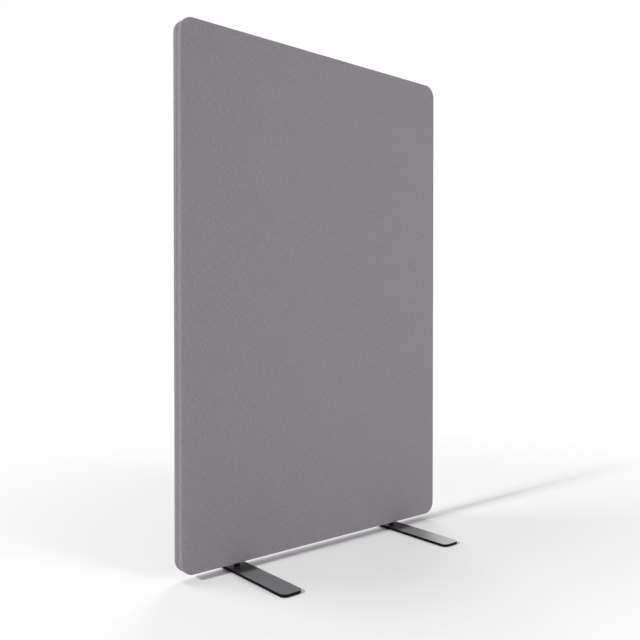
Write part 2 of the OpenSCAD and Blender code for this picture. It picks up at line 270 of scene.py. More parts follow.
class Shader:
    """One material under construction."""

    def __init__(self, name):
        self.material = bpy.data.materials.new(OWN + name)
        self.material.use_nodes = True
        self.tree = self.material.node_tree
        self.tree.nodes.clear()
        self.output = self.tree.nodes.new("ShaderNodeOutputMaterial")

    def node(self, kind, choices=None, inputs=None, output=0):
        """Adds a node: its choices are set first, then each socket's value or link."""
        made = self.tree.nodes.new(kind)
        for name, value in (choices or {}).items():
            setattr(made, name, value)
        for name, value in (inputs or {}).items():
            if isinstance(value, Value):
                self.tree.links.new(value.socket, made.inputs[name])
            else:
                made.inputs[name].default_value = value
        return Value(self, made.outputs[output])

    def place(self, scale=(1, 1, 1), turn=(0, 0, 0), uv=None):
        """The point on the piece, or on its unfolded cloth, turned and scaled."""
        if uv:
            point = self.node("ShaderNodeUVMap", {"uv_map": uv})
        else:
            point = self.node("ShaderNodeTexCoord", output=3)
        return self.node(
            "ShaderNodeMapping", None, {"Vector": point, "Scale": scale, "Rotation": turn})

    def axes(self, point):
        """The three coordinates of a point."""
        first = self.node("ShaderNodeSeparateXYZ", None, {"Vector": point})
        return [Value(self, socket) for socket in first.socket.node.outputs]

    def noise(self, point, scale, detail=2.0, rough=0.5):
        return self.node(
            "ShaderNodeTexNoise", None,
            {"Vector": point, "Scale": scale, "Detail": detail, "Roughness": rough})

    def mix(self, share, first, second):
        """A colour between two colours."""
        inputs = {0: share, 6: first, 7: second}
        for key in (6, 7):
            if not isinstance(inputs[key], Value):
                inputs[key] = (*inputs[key][:3], 1)
        return self.node("ShaderNodeMix", {"data_type": "RGBA"}, inputs, output=2)

    def bump(self, height, distance, strength=1.0):
        return self.node(
            "ShaderNodeBump", None,
            {"Height": height, "Distance": distance, "Strength": strength})

    def principled(self, **sockets):
        """A Principled shader; an underscore in a socket's name stands for a space."""
        inputs = {name.replace("_", " "): value for name, value in sockets.items()}
        for name in ("Base Color", "Sheen Tint"):
            if name in inputs and not isinstance(inputs[name], Value):
                inputs[name] = (*inputs[name][:3], 1)
        return self.node("ShaderNodeBsdfPrincipled", None, inputs)

    def surface(self, **sockets):
        """Ends in one Principled shader."""
        return self.finish(self.principled(**sockets))

    def blend(self, share, first, second):
        """Ends in a mix of two shaders."""
        return self.finish(
            self.node("ShaderNodeMixShader", None, {0: share, 1: first, 2: second}))

    def finish(self, shader):
        self.tree.links.new(shader.socket, self.output.inputs["Surface"])
        return self.material


def tinted(colour, factor):
    """A colour made lighter or darker."""
    return tuple(min(1.0, part * factor) for part in colour)


# Finishes

def cover_cloth():
    """Plain weave of mixed yarns, with slubs, fading streaks and a dry sheen."""
    shader = Shader("cover_cloth")
    colour = settings("colours").cloth
    yarn = 1.25 * MM
    flat = shader.place(uv="cloth")
    across, along, _ = shader.axes(flat)
    warp, weft = across / yarn, along / yarn
    warp_wave = abs((warp * math.pi).sine())
    weft_wave = abs((weft * math.pi).sine())
    over = (warp.floor() + weft.floor()) % 2
    warp_height = warp_wave * (0.45 + 0.55 * weft_wave)
    weft_height = weft_wave * (0.45 + 0.55 * warp_wave)
    height = over * warp_height + (1 - over) * weft_height
    warp_tone = shader.noise(shader.place((1 / yarn, 55, 1), uv="cloth"), 1, 3)
    weft_tone = shader.noise(shader.place((70, 1 / yarn, 1), uv="cloth"), 1, 3)
    tone = over * warp_tone + (1 - over) * weft_tone
    slub = shader.noise(shader.place((420, 90, 1), uv="cloth"), 1, 1).ramp(0.62, 0.75)
    cloudy = shader.noise(flat, 9, 3)
    mottled = shader.noise(flat, 130, 2)
    body = shader.mix(tone.ramp(0.3, 0.7), tinted(colour, 0.74), tinted(colour, 1.26))
    body = shader.mix(slub * 0.35, body, tinted(colour, 1.45))
    body = shader.mix(cloudy.ramp(0.35, 0.7) * 0.12, body, tinted(colour, 0.82))
    body = shader.mix(mottled.ramp(0.4, 0.65) * 0.3, body, tinted(colour, 0.85))
    # Painted shade: the low points of the weave, between the yarns, are darkened.
    shade = shader.mix(height.ramp(0.0, 0.5), tinted(colour, 0.62), body)
    return shader.surface(
        Base_Color=shade, Roughness=0.92, Specular_IOR_Level=0.2, Sheen_Weight=0.12,
        Sheen_Roughness=0.5, Sheen_Tint=(0.8, 0.76, 0.8),
        Normal=shader.bump(height + 0.3 * slub, 0.22 * MM, 0.7))


def sewing_thread():
    """Twisted thread."""
    shader = Shader("sewing_thread")
    colour = settings("colours").cloth
    twist = shader.noise(shader.place(), 2500, 1)
    body = shader.mix(twist, tinted(colour, 0.75), tinted(colour, 1.1))
    return shader.surface(Base_Color=body, Roughness=0.7, Specular_IOR_Level=0.3)


def zip_tape():
    """Closely woven tape with a fine rib across it."""
    shader = Shader("zip_tape")
    colour = settings("colours").zip
    across, along, _ = shader.axes(shader.place(uv="cloth"))
    rib_width = 0.7 * MM
    rib = abs(((across + along) * (math.pi / rib_width)).sine())
    # Painted shade: the rib's grooves are darkened in step with its bump.
    body = shader.mix(rib, tinted(colour, 0.7), tinted(colour, 1.1))
    return shader.surface(
        Base_Color=body, Roughness=0.85, Normal=shader.bump(rib, 0.1 * MM, 0.6))


def zip_coil():
    """Dyed nylon monofilament."""
    shader = Shader("zip_coil")
    colour = settings("colours").zip
    patch = shader.noise(shader.place(), 300, 2)
    body = shader.mix(patch, tinted(colour, 0.85), tinted(colour, 1.15))
    return shader.surface(
        Base_Color=body, Roughness=patch.ramp(0, 1) * 0.15 + 0.32, Specular_IOR_Level=0.5)


def zip_metal():
    """Lacquered cast zinc, worn a little brighter in places."""
    shader = Shader("zip_metal")
    colour = (0.16, 0.15, 0.16)
    grain = shader.noise(shader.place(), 900, 3)
    worn = shader.noise(shader.place(), 160, 2).ramp(0.6, 0.75)
    body = shader.mix(worn * 0.5, colour, (0.42, 0.41, 0.40))
    return shader.surface(
        Base_Color=body, Metallic=worn * 0.6 + 0.25, Roughness=grain * 0.15 + 0.28,
        Normal=shader.bump(grain, 0.05 * MM, 0.4))


def black_coat():
    """Black enamel on steel, matte from above and paler when seen along it.

    Where something stands close over it, an ambient occlusion node darkens its gloss colour:
    painted shade.
    """
    shader = Shader("black_coat")
    colour = settings("colours").coat
    peel = shader.noise(shader.place(), 700, 2)
    cloudy = shader.noise(shader.place(), 14, 3)
    body = shader.mix(cloudy, tinted(colour, 0.9), tinted(colour, 1.25))
    relief = shader.bump(peel, 0.02 * MM, 0.15)
    matte = shader.principled(
        Base_Color=body, Roughness=cloudy * 0.05 + 0.4, Specular_IOR_Level=0.05, Normal=relief)
    reach = 90 * MM
    # Painted shade: ambient occlusion within reach darkens the gloss's base colour under and
    # beside whatever stands close over it.
    clear = shader.node(
        "ShaderNodeAmbientOcclusion", {"samples": 16}, {"Distance": reach}, output=1)
    gloss_painted_shade = shader.mix(clear.ramp(0.80, 0.92), (0.075, 0.075, 0.075), (0.38, 0.38, 0.38))
    gloss = shader.principled(
        Base_Color=gloss_painted_shade, Metallic=1.0, Roughness=peel * 0.03 + 0.5, Normal=relief)
    along = shader.node("ShaderNodeLayerWeight", None, {"Blend": 0.5}, output=1)
    return shader.blend(along.ramp(0.55, 0.65), matte, gloss)


def eyelet_plastic():
    """Moulded black plastic."""
    shader = Shader("eyelet_plastic")
    grain = shader.noise(shader.place(), 1200, 2)
    body = shader.mix(grain, (0.017, 0.017, 0.017), (0.026, 0.026, 0.026))
    return shader.surface(
        Base_Color=body, Roughness=grain * 0.15 + 0.4, Normal=shader.bump(grain, 0.04 * MM, 0.4))


def pad_rubber():
    """Matte rubber with a little dust."""
    shader = Shader("pad_rubber")
    dust = shader.noise(shader.place(), 220, 4)
    body = shader.mix(dust.ramp(0.4, 0.8), (0.026, 0.026, 0.026), (0.07, 0.068, 0.065))
    return shader.surface(
        Base_Color=body, Roughness=dust * 0.2 + 0.7, Normal=shader.bump(dust, 0.08 * MM, 0.5))


def zinc_steel():
    """Zinc-plated steel, passivated, with drawn streaks."""
    shader = Shader("zinc_steel")
    streaks = shader.noise(shader.place((1, 1, 0.08)), 900, 3)
    cloudy = shader.noise(shader.place(), 120, 2)
    body = shader.mix(cloudy, (0.56, 0.57, 0.57), (0.68, 0.66, 0.60))
    return shader.surface(
        Base_Color=body, Metallic=1.0, Roughness=streaks * 0.2 + 0.25,
        Normal=shader.bump(streaks, 0.03 * MM, 0.4))


def timber(name, turn, colour):
    """Softwood whose growth rings and fibres run along the piece."""
    heart_x, heart_y = -0.31, 0.05
    ring = 4.5 * MM
    shader = Shader(name)
    point = shader.place(turn=turn)
    bend = shader.noise(shader.place((1, 1, 0.12), turn), 9, 2)
    x, y, z = shader.axes(point)
    off = x - heart_x + bend * 0.02
    depth = y - heart_y + bend * 0.015
    rings = ((off * off + depth * depth).root() * (math.pi / ring)).sine()
    late = rings.ramp(0.35, 0.98)
    fibres = shader.noise(shader.place((1, 1, 0.02), turn), 1600, 3)
    spread = shader.noise(shader.place((1, 1, 0.15), turn), 22, 2)
    body = shader.mix(late, colour, tinted(colour, 0.62))
    body = shader.mix(fibres * 0.5, body, tinted(colour, 0.8))
    body = shader.mix(spread.ramp(0.4, 0.75) * 0.4, body, tinted(colour, 1.15))
    return shader.surface(
        Base_Color=body, Roughness=late * -0.12 + 0.68,
        Normal=shader.bump(fibres + late, 0.12 * MM, 0.4))


def upright_pine():
    return timber("upright_pine", (0, 0, 0), settings("colours").pine)


def level_pine():
    return timber("level_pine", (0, math.pi / 2, 0), settings("colours").pine)


def dowel_wood():
    return timber("dowel_wood", (math.pi / 2, 0, 0), (0.55, 0.38, 0.20))


def wadding():
    """White polyester fleece of crossing fibres."""
    shader = Shader("wadding")
    lay = shader.noise(shader.place((1, 1, 0.3)), 700, 4, 0.7)
    cross = shader.noise(shader.place((0.3, 1, 1)), 700, 4, 0.7)
    fibres = lay.larger(cross)
    body = shader.mix(fibres.ramp(0.4, 0.8), (0.66, 0.66, 0.64), (0.84, 0.84, 0.82))
    return shader.surface(
        Base_Color=body, Roughness=0.95, Sheen_Weight=0.3,
        Normal=shader.bump(fibres, 0.5 * MM, 0.8))


def absorber():
    """Pressed recycled fibre, flecked with darker and lighter strands."""
    shader = Shader("absorber")
    fleck = shader.noise(shader.place((1, 1, 0.4)), 260, 4, 0.75)
    clump = shader.noise(shader.place(), 30, 3)
    body = shader.mix(fleck.ramp(0.35, 0.7), (0.27, 0.29, 0.27), (0.52, 0.53, 0.48))
    body = shader.mix(clump.ramp(0.55, 0.75) * 0.4, body, (0.30, 0.36, 0.42))
    return shader.surface(
        Base_Color=body, Roughness=0.95, Normal=shader.bump(fleck + clump, 0.7 * MM, 0.9))


FINISHES = {
    "cover_cloth": cover_cloth, "sewing_thread": sewing_thread, "zip_tape": zip_tape,
    "zip_coil": zip_coil, "zip_metal": zip_metal, "black_coat": black_coat,
    "eyelet_plastic": eyelet_plastic, "pad_rubber": pad_rubber, "zinc_steel": zinc_steel,
    "upright_pine": upright_pine, "level_pine": level_pine, "dowel_wood": dowel_wood,
    "wadding": wadding, "absorber": absorber,
}


def finish(name):
    """The material of that finish, made when it is first asked for."""
    return bpy.data.materials.get(OWN + name) or FINISHES[name]()


# Modelling helpers

def activate(piece):
    """Makes a piece the only selected one."""
    bpy.ops.object.select_all(action="DESELECT")
    piece.select_set(True)
    bpy.context.view_layer.objects.active = piece


def start(name, primitive, scale=(1, 1, 1), **options):
    """Adds a primitive under a name, with its size and place in its mesh."""
    bpy.ops.object.select_all(action="DESELECT")
    primitive(**options)
    piece = bpy.context.object
    piece.name = piece.data.name = name
    piece.scale = scale
    bpy.ops.object.transform_apply(location=True, rotation=True, scale=True)
    return piece


class editing:
    """Edit mode on one piece."""

    def __init__(self, piece):
        self.piece = piece

    def __enter__(self):
        activate(self.piece)
        bpy.ops.object.mode_set(mode="EDIT")
        return self

    def __exit__(self, *_):
        bpy.ops.object.mode_set(mode="OBJECT")

    def pick(self, kind, test):
        """Selects just the vertices, edges or faces whose middle passes the test."""
        bpy.ops.mesh.select_mode(type=kind)
        bpy.ops.mesh.select_all(action="DESELECT")
        mesh = bmesh.from_edit_mesh(self.piece.data)
        for part in {"VERT": mesh.verts, "EDGE": mesh.edges, "FACE": mesh.faces}[kind]:
            corners = [part.co] if kind == "VERT" else [vert.co for vert in part.verts]
            middle = sum(corners, Vector()) / len(corners)
            part.select_set(test(middle, part))
        mesh.select_flush_mode()
        bmesh.update_edit_mesh(self.piece.data)

    def cut(self, axis, places):
        """Cuts the whole mesh by planes square to an axis."""
        normal = [float(k == axis) for k in range(3)]
        for place in places:
            bpy.ops.mesh.select_all(action="SELECT")
            point = [place * part for part in normal]
            bpy.ops.mesh.bisect(plane_co=point, plane_no=normal)

    def clear(self, test):
        """Deletes the faces whose middle passes the test."""
        self.pick("FACE", lambda middle, _: test(middle))
        bpy.ops.mesh.delete(type="FACE")


def modify(piece, kind, **options):
    """Adds a modifier and applies it."""
    activate(piece)
    modifier = piece.modifiers.new(kind.title(), kind)
    for name, value in options.items():
        setattr(modifier, name, value)
    bpy.ops.object.modifier_apply(modifier=modifier.name)


def uneven(piece, height, size, depth=2):
    """Pushes a surface in and out by soft noise."""
    texture = bpy.data.textures.new(piece.name + "_noise", "CLOUDS")
    texture.noise_scale = size
    texture.noise_depth = depth
    modify(piece, "DISPLACE", texture=texture, strength=height, mid_level=0.5)


def round_cut_edges(piece, width):
    """Rounds the sharp edges that a wall or a cut leaves."""
    modify(piece, "BEVEL", width=width, segments=3, limit_method="ANGLE", angle_limit=SHARP)


def dress(piece, body, material, stands_for=(), angle=35):
    """Gives a finished piece its shading, its finish, its body and its CAD nodes."""
    activate(piece)
    bpy.ops.object.shade_smooth_by_angle(angle=math.radians(angle))
    piece.data.materials.clear()
    piece.data.materials.append(finish(material))
    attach(piece, body)
    if stands_for:
        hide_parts(*stands_for)


def steps(low, high, size):
    """Evenly spaced values strictly between low and high, at most size apart."""
    count = math.ceil((high - low) / size)
    return [low + (high - low) * k / count for k in range(1, count)]


def outward(point, corner):
    """Direction square to the panel's outline nearest to a point, in the XZ plane."""
    half_x = PANEL_WIDTH / 2 - corner
    half_z = PANEL_HEIGHT / 2 - corner
    x, z = point.x, point.z - PANEL_MIDDLE.z
    out_x = max(abs(x) - half_x, 0.0) * (1 if x > 0 else -1)
    out_z = max(abs(z) - half_z, 0.0) * (1 if z > 0 else -1)
    length = math.hypot(out_x, out_z)
    return (out_x / length, out_z / length) if length > 1e-9 else (0.0, 0.0)


def unfold(piece, corner, face_y):
    """Lays the piece's cloth out flat: its face as it is, its edge folded outwards."""
    layer = piece.data.uv_layers.new(name="cloth")
    for loop in piece.data.loops:
        point = piece.data.vertices[loop.vertex_index].co
        reach = abs(point.y - face_y)
        out_x, out_z = outward(point, corner)
        layer.data[loop.index].uv = (point.x + out_x * reach, point.z + out_z * reach)


def in_zip_zone(point, corner):
    """Whether a point lies on the stretch of the outline that the zip follows."""
    above_end = point.z > ZIP_END_Z
    lower_left = point.x < PANEL_LOW.x + corner and point.z < ZIP_END_Z + corner
    return above_end or lower_left


def in_base_zone(point, corner):
    """Whether a point lies on the bottom edge between the corners."""
    return abs(point.x) < PANEL_HIGH.x - corner and point.z < PANEL_MIDDLE.z


def outline_face(name, depth, y):
    """A flat face of the panel's outline, at a depth below its edge, facing the front."""
    corner = settings("cover").corner
    piece = start(
        name, bpy.ops.mesh.primitive_plane_add, size=1,
        location=(0, y, PANEL_MIDDLE.z), rotation=(math.pi / 2, 0, 0),
        scale=(PANEL_WIDTH - 2 * depth, PANEL_HEIGHT - 2 * depth, 1))
    with editing(piece):
        bpy.ops.mesh.select_all(action="SELECT")
        bpy.ops.mesh.bevel(
            offset=corner - depth, segments=ARC_STEPS, affect="VERTICES", clamp_overlap=False)
    return piece


def outline_tray(name, depth, open_y, face_y):
    """The outline's face with a rim back to its open side."""
    piece = outline_face(name, depth, open_y)
    with editing(piece) as edit:
        bpy.ops.mesh.select_all(action="SELECT")
        bpy.ops.mesh.extrude_region_move(
            TRANSFORM_OT_translate={"value": (0, face_y - open_y, 0)})
        edit.clear(lambda middle: abs(middle.y - open_y) < TINY)
    return piece


def mirrored(piece, name):
    """A copy of a front piece for the back, turned over in Y."""
    copy = piece.copy()
    copy.data = piece.data.copy()
    copy.name = copy.data.name = name
    bpy.context.collection.objects.link(copy)
    copy.data.transform(Matrix.Scale(-1, 4, (0, 1, 0)))
    copy.data.flip_normals()
    return copy


# Cover

def cover_shell():
    """The front cover as a sheet: face, rounded rim, open slot and stitched hem."""
    sizes = settings("cover")
    face_y = PANEL_LOW.y
    slot_y = -sizes.slot / 2
    stitch_y = slot_y - sizes.stitch_row
    margin_y = face_y + sizes.margin
    rise, settle = 8 * MM, 24 * MM  # widths of the two rings that lift the face to its crown
    furrow, sink = 1.2 * MM, 0.35 * MM  # half width and depth of the dent under the stitches
    piece = outline_tray("cloth_front", 0, -SEAM_GAP, face_y)
    with editing(piece) as edit:
        # Round the fold between face and edge, and lift the face to its crown
        edit.pick("EDGE", lambda middle, edge: len(edge.link_faces) == 2
                  and abs(edge.calc_face_angle(0)) > 1)
        bpy.ops.mesh.bevel(offset=sizes.edge, segments=6, affect="EDGES")
        edit.pick("FACE", lambda middle, face: len(face.verts) > 8)
        bpy.ops.mesh.inset(thickness=rise, depth=sizes.crown * 0.6)
        bpy.ops.mesh.inset(thickness=settle, depth=sizes.crown * 0.4)
        edit.cut(0, steps(PANEL_LOW.x, PANEL_HIGH.x, sizes.cell))
        edit.cut(2, steps(PANEL_LOW.z, PANEL_HIGH.z, sizes.cell))
        # Open the slot of the zip and the bottom between the margins
        edit.cut(0, [PANEL_LOW.x + sizes.corner, PANEL_HIGH.x - sizes.corner])
        edit.cut(2, [ZIP_END_Z])
        edit.cut(1, [slot_y, stitch_y, stitch_y - furrow, stitch_y + furrow, margin_y])
        edit.clear(lambda middle: middle.y > slot_y and in_zip_zone(middle, sizes.corner))
        edit.clear(lambda middle: middle.y > margin_y and in_base_zone(middle, sizes.corner))
        bpy.ops.mesh.select_all(action="SELECT")
        bpy.ops.mesh.remove_doubles(threshold=TINY)
        bpy.ops.mesh.dissolve_degenerate(threshold=TINY)
        # Draw in the line under the stitches
        edit.pick("VERT", lambda point, vert: abs(point.y - stitch_y) < 10 * TINY
                  and in_zip_zone(point, sizes.corner))
        bpy.ops.transform.shrink_fatten(value=-sink)
    return piece


def stitched_line(name, curve, thread, pitch, length):
    """A row of stitches along a curve, with a little cloth between one and the next."""
    stitch_length = pitch * 0.86
    stitch = start(
        name, bpy.ops.mesh.primitive_uv_sphere_add, segments=8, ring_count=5, radius=0.5,
        rotation=(0, math.pi / 2, 0), scale=(thread, thread, stitch_length))
    follow(stitch, curve, pitch, length)
    return stitch


def repeat(unit, pitch, length):
    """A row of units along X that fills a length, spaced by about the pitch."""
    count = round(length / pitch)
    modify(
        unit, "ARRAY", count=count, use_relative_offset=False, use_constant_offset=True,
        constant_offset_displace=(length / count, 0, 0))


def follow(unit, curve, pitch, length):
    """Repeats a unit modelled along X and lays the row along a curve.

    The row starts a quarter of a pitch in, so a pair that is half a pitch long is centred.
    """
    repeat(unit, pitch, length)
    unit.data.transform(Matrix.Translation((pitch / 4, 0, 0)))
    unit.matrix_world = curve.matrix_world
    modify(unit, "CURVE", object=curve, deform_axis="POS_X")
    activate(unit)
    bpy.ops.object.transform_apply(location=True, rotation=True, scale=True)


def zip_path(name, depth, y, down_to):
    """A curve along the zip: up the left edge, over the top and down the right edge."""
    corner = settings("cover").corner
    half_x, low, high = PANEL_WIDTH / 2 - corner, PANEL_LOW.z + corner, PANEL_HIGH.z - corner
    centres = ((-half_x, low, -90), (-half_x, high, -180), (half_x, high, -270))
    reach = corner - depth
    points = []
    for centre_x, centre_z, begin in centres:
        for k in range(ARC_STEPS + 1):
            turn = math.radians(begin - k * 90 / ARC_STEPS)
            points.append((centre_x + reach * math.cos(turn), centre_z + reach * math.sin(turn)))
    if down_to < high:
        points.append((half_x + reach, down_to))
    data = bpy.data.curves.new(name, "CURVE")
    data.dimensions = "2D"
    spline = data.splines.new("POLY")
    spline.points.add(len(points) - 1)
    for place, (x, z) in zip(spline.points, points):
        place.co = (x, z, 0, 1)
    curve = bpy.data.objects.new(name, data)
    bpy.context.collection.objects.link(curve)
    curve.matrix_world = Matrix.Translation((0, y, 0)) @ Matrix.Rotation(math.pi / 2, 4, "X")
    length = sum(math.dist(a, b) for a, b in zip(points, points[1:]))
    return curve, length


class SCREEN_OT_cover(bpy.types.Operator):
    """Models the front and back covers with their stitching"""
    bl_idname = "screen.cover"
    bl_label = "Face Covers"

    def execute(self, context):
        sizes = settings("cover")
        patch = 220 * MM
        front = cover_shell()
        uneven(front, sizes.swell, patch)
        back = mirrored(front, "cloth_back")
        for piece, node, face_y, pad in ((front, "cover_front", PANEL_LOW.y, "wadding_front"),
                                         (back, "cover_back", PANEL_HIGH.y, "wadding_back")):
            unfold(piece, sizes.corner, face_y)
            modify(piece, "SOLIDIFY", thickness=sizes.cloth, offset=-1, use_even_offset=True)
            round_cut_edges(piece, 0.4 * sizes.cloth)
            dress(piece, "panel", "cover_cloth", stands_for=[node])
        self.stitching(sizes)
        return {"FINISHED"}

    def stitching(self, sizes):
        """One row on each cover, sunk into the cloth beside the slot."""
        reach = sizes.slot / 2 + sizes.stitch_row
        depth, end = 0.2 * MM, 2 * MM
        curve, length = zip_path("stitch_path", depth, -reach, ZIP_END_Z + end)
        front = stitched_line(
            "stitches_front", curve, sizes.thread, sizes.stitch_pitch, length)
        bpy.data.objects.remove(curve)
        back = mirrored(front, "stitches_back")
        for piece in (front, back):
            dress(piece, "panel", "sewing_thread")


class SCREEN_OT_base_strip(bpy.types.Operator):
    """Models the cloth strip across the bottom, with its two post holes"""
    bl_idname = "screen.base_strip"
    bl_label = "Base Strip"

    def execute(self, context):
        low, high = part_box("cover_base")
        piece = start(
            "cloth_base", bpy.ops.mesh.primitive_cube_add, size=1, location=(low + high) / 2,
            scale=high - low)
        eyelet_low, eyelet_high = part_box("post_eyelets")
        hole = (eyelet_high.y - eyelet_low.y) / 2 - EYELET_FLANGE + FIT_GAP
        for post in POSTS:
            cutter = start(
                "post_hole", bpy.ops.mesh.primitive_cylinder_add, vertices=48, radius=hole,
                depth=20 * (high.z - low.z), location=(post.x, post.y, low.z))
            modify(piece, "BOOLEAN", object=cutter, operation="DIFFERENCE")
            bpy.data.objects.remove(cutter)
        with editing(piece) as edit:
            edit.cut(0, steps(low.x, high.x, settings("cover").cell))
        layer = piece.data.uv_layers.get("UVMap") or piece.data.uv_layers.new()
        layer.name = "cloth"
        for loop in piece.data.loops:
            point = piece.data.vertices[loop.vertex_index].co
            layer.data[loop.index].uv = (point.x, point.y)
        round_cut_edges(piece, 0.3 * (high.z - low.z))
        dress(piece, "panel", "cover_cloth", stands_for=["cover_base"])
        return {"FINISHED"}


# Zip

def coil_height(sizes):
    """Height of the coil above the tapes, with the fifth of them that it sinks in."""
    return SIDE_CHAIN_HIGH.x - SIDE_CHAIN_LOW.x - sizes.tape * 0.8


def zip_loop(name, side, offset, sizes):
    """One loop of the coil, across the chain from its tape to past the middle."""
    reach = SIDE_CHAIN_HIGH.y + sizes.overlap
    middle = (SIDE_CHAIN_HIGH.y - sizes.overlap) / 2 * side
    rounding = 0.2 * MM
    loop = start(
        name, bpy.ops.mesh.primitive_cylinder_add, vertices=6, radius=0.5, depth=1,
        location=(offset, 0, middle), scale=(sizes.loop, coil_height(sizes), reach))
    with editing(loop) as edit:
        edit.pick("FACE", lambda centre, face: len(face.verts) > 4)  # its two ends
        bpy.ops.mesh.bevel(offset=rounding, segments=1, affect="EDGES")
    return loop


def loop_pair(name, sizes):
    """A loop of each side, half a pitch apart, along X and square to it in Z."""
    front = zip_loop(name, -1, 0, sizes)
    back = zip_loop("back_loop", 1, sizes.pitch / 2, sizes)
    activate(front)
    back.select_set(True)
    bpy.ops.object.join()
    return front


class SCREEN_OT_zip(bpy.types.Operator):
    """Models the zip's tapes and the loops of its closed coil"""
    bl_idname = "screen.zip"
    bl_label = "Coil Zip"

    def execute(self, context):
        sizes = settings("zip")
        self.tapes(sizes)
        depth = PANEL_HIGH.x - SIDE_CHAIN_HIGH.x + coil_height(sizes) / 2
        curve, length = zip_path("chain_path", depth, 0, SIDE_CHAIN_HIGH.z)
        chain = loop_pair("coil_round", sizes)
        follow(chain, curve, sizes.pitch, length)
        bpy.data.objects.remove(curve)
        dress(chain, "panel", "zip_coil", stands_for=["zip_chain"])
        self.side_chain(sizes, depth)
        return {"FINISHED"}

    def tapes(self, sizes):
        """Two woven tapes under the hems."""
        cover = settings("cover")
        low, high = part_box("zip_tape_front")
        inner = high.y + sizes.tuck
        piece = outline_tray("tape_front", cover.cloth, inner, low.y)
        with editing(piece) as edit:
            edit.clear(lambda middle: abs(middle.y - low.y) < TINY)
            edit.cut(0, [PANEL_LOW.x + cover.corner])
            edit.cut(2, [ZIP_END_Z])
            edit.clear(lambda middle: not in_zip_zone(middle, cover.corner))
        back = mirrored(piece, "tape_back")
        for tape, node in ((piece, "zip_tape_front"), (back, "zip_tape_back")):
            unfold(tape, cover.corner, 0)
            modify(tape, "SOLIDIFY", thickness=sizes.tape, offset=-1, use_even_offset=True)
            dress(tape, "panel", "zip_tape", stands_for=[node])

    def side_chain(self, sizes, depth):
        """The straight run that the slider opens, drawn up towards its top end."""
        low, high = SIDE_CHAIN_LOW, SIDE_CHAIN_HIGH
        chain = loop_pair("coil_side", sizes)
        repeat(chain, sizes.pitch, high.z - low.z)
        hang = Matrix.Rotation(math.pi / 2, 4, "X") @ Matrix.Rotation(-math.pi / 2, 4, "Z")
        shift = Matrix.Translation((PANEL_HIGH.x - depth, 0, high.z - sizes.pitch / 4))
        chain.data.transform(shift @ hang)
        dress(chain, "panel", "zip_coil", stands_for=["zip_chain_side"])
        # What is kept is the share of its length that the slider leaves at the top
        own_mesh(chain)


# Fillings

class SCREEN_OT_wadding(bpy.types.Operator):
    """Models the fleece sheets under the face covers"""
    bl_idname = "screen.wadding"
    bl_label = "Wadding"

    def execute(self, context):
        sizes = settings("filling")
        border, cell, lump = 15 * MM, 30 * MM, 30 * MM
        low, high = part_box("wadding_front")
        depth = low.x - PANEL_LOW.x + sizes.lumps / 2
        piece = outline_face("fleece_front", depth, low.y + sizes.lumps)
        with editing(piece) as edit:
            bpy.ops.mesh.select_all(action="SELECT")
            bpy.ops.mesh.inset(thickness=border, depth=0)
            edit.cut(0, steps(low.x, high.x, cell))
            edit.cut(2, steps(low.z, high.z, cell))
        modify(piece, "SOLIDIFY", thickness=high.y - low.y - 2 * sizes.lumps, offset=-1)
        round_cut_edges(piece, sizes.fleece_edge)
        uneven(piece, sizes.lumps, lump, 3)
        back = mirrored(piece, "fleece_back")
        for sheet, node in ((piece, "wadding_front"), (back, "wadding_back")):
            dress(sheet, "panel", "wadding", stands_for=[node], angle=60)
        return {"FINISHED"}


class SCREEN_OT_absorbers(bpy.types.Operator):
    """Models the sound-absorbing slabs in the frame's two bays"""
    bl_idname = "screen.absorbers"
    bl_label = "Absorber Slabs"

    def execute(self, context):
        sizes = settings("filling")
        cell, lump = 20 * MM, 20 * MM
        for name, node in (("slab_upper", "absorber_upper"), ("slab_lower", "absorber_lower")):
            low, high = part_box(node)
            inset = Vector((1, 1, 1)) * sizes.lumps
            slab = start(
                name, bpy.ops.mesh.primitive_cube_add, size=1, location=(low + high) / 2,
                scale=high - low - inset)
            with editing(slab) as edit:
                bpy.ops.mesh.select_all(action="SELECT")
                bpy.ops.mesh.bevel(offset=sizes.slab_edge, segments=3, affect="EDGES")
                edit.cut(0, steps(low.x, high.x, cell))
                edit.cut(2, steps(low.z, high.z, cell))
            uneven(slab, sizes.lumps, lump, 3)
            dress(slab, "panel", "absorber", stands_for=[node], angle=60)
        return {"FINISHED"}


# Finishes of the frame, the feet and the fittings

class SCREEN_OT_finishes(bpy.types.Operator):
    """Gives every part that is carried over from the CAD its finish"""
    bl_idname = "screen.finishes"
    bl_label = "Finishes"

    def execute(self, context):
        for part in frame["record"]["subparts"]:
            node = frame["nodes"][part["node"]]
            name = part["material_slot"]
            if name == "pine":
                low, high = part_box(node.name)
                size = high - low
                name = "upright_pine" if size.z > size.x else "level_pine"
            node.data.materials.clear()
            node.data.materials.append(finish(name))
        return {"FINISHED"}


# Studio

ON_FLOOR = (0, 0, 0)

# Name, place, what it points at, width and the setting that holds its level
LAMPS = (
    ("side_lamp", (-11.2, 0, 6.5), ON_FLOOR, 0.8, "side"),
    ("front_lamp", (1.8, -6.0, 1.4), PANEL_MIDDLE, 2.0, "front"),
    ("back_left_lamp", (-1.8, 1.6, 5.6), ON_FLOOR, 1.5, "back_left"),
    ("back_right_lamp", (3.2, 3.0, 4.2), ON_FLOOR, 2.5, "back_right"),
)


def lamp(name, place, aim, size, level):
    """A square soft lamp; level 1 lights a facing surface to the colour as written."""
    data = bpy.data.lights.new(name, "AREA")
    data.size = size
    away = Vector(aim) - Vector(place)
    data.energy = level * math.pi ** 2 * away.length_squared
    made = bpy.data.objects.new(name, data)
    made.location = place
    made.rotation_euler = away.to_track_quat("-Z", "Y").to_euler()
    bpy.context.collection.objects.link(made)


